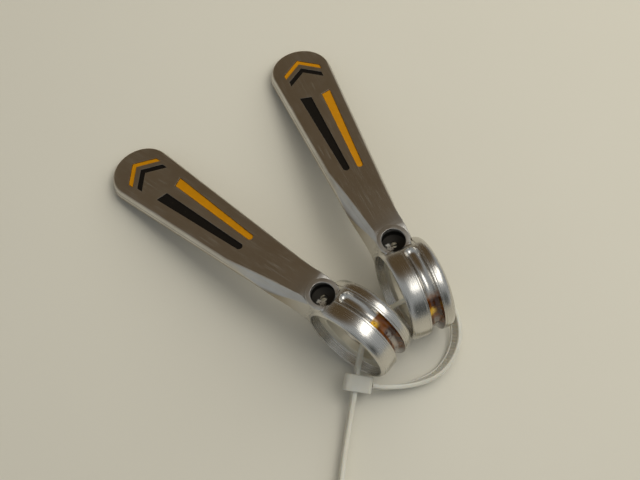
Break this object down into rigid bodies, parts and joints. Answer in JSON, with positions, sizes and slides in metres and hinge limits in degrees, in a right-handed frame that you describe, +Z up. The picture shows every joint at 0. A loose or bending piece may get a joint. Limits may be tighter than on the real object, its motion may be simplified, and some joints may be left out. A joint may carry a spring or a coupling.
{
  "type": "friction shift lever pair",
  "caption": "Bare aluminium friction shift levers with enamel stripes, strung through their hollow drums on a nylon cable tie.",
  "frame": {"origin": "middle of the whole part's footprint, on the surface that the levers lie on", "axes": "+Z up from that surface; +Y from the drums towards the lever tips, halfway between the two levers; +X from the left lever to the right lever"},
  "size_m": [0.0936, 0.1322, 0.025],
  "materials": {
    "lever_aluminium": "satin paddles, polished drums",
    "yellow_enamel": "glossy",
    "black_enamel": "glossy",
    "tie_nylon": "translucent satin"
  },
  "bodies": {
    "tie": {"tie_head": "tie_nylon", "tie_strap": "tie_nylon"},
    "pawl": {"tie_pawl": "tie_nylon"},
    "left": {"left_lever": "lever_aluminium", "left_yellow_stripe": "yellow_enamel", "left_black_stripe": "black_enamel", "left_yellow_chevron": "yellow_enamel", "left_black_chevron": "black_enamel"},
    "right": {"right_lever": "lever_aluminium", "right_yellow_stripe": "yellow_enamel", "right_black_stripe": "black_enamel", "right_yellow_chevron": "yellow_enamel", "right_black_chevron": "black_enamel"}
  },
  "joints": [
    {"name": "left_lever_swing", "type": "hinge", "parent": "tie", "child": "left", "pos_m": [0.0003, -0.0176, 0.0125], "axis": [0.9703, 0.2419, 0], "range_deg": [0, 90]},
    {"name": "right_lever_swing", "type": "hinge", "parent": "tie", "child": "right", "pos_m": [0.0183, -0.0176, 0.0125], "axis": [0.9703, -0.2419, 0], "range_deg": [0, 90]},
    {"name": "pawl_flex", "type": "hinge", "parent": "tie", "child": "pawl", "pos_m": [-0.00613, -0.02684, 0.00531], "axis": [-0.0823, -0.3283, 0.941], "range_deg": [0, 6], "stiffness_Nm_per_rad": 0.002}
  ]
}
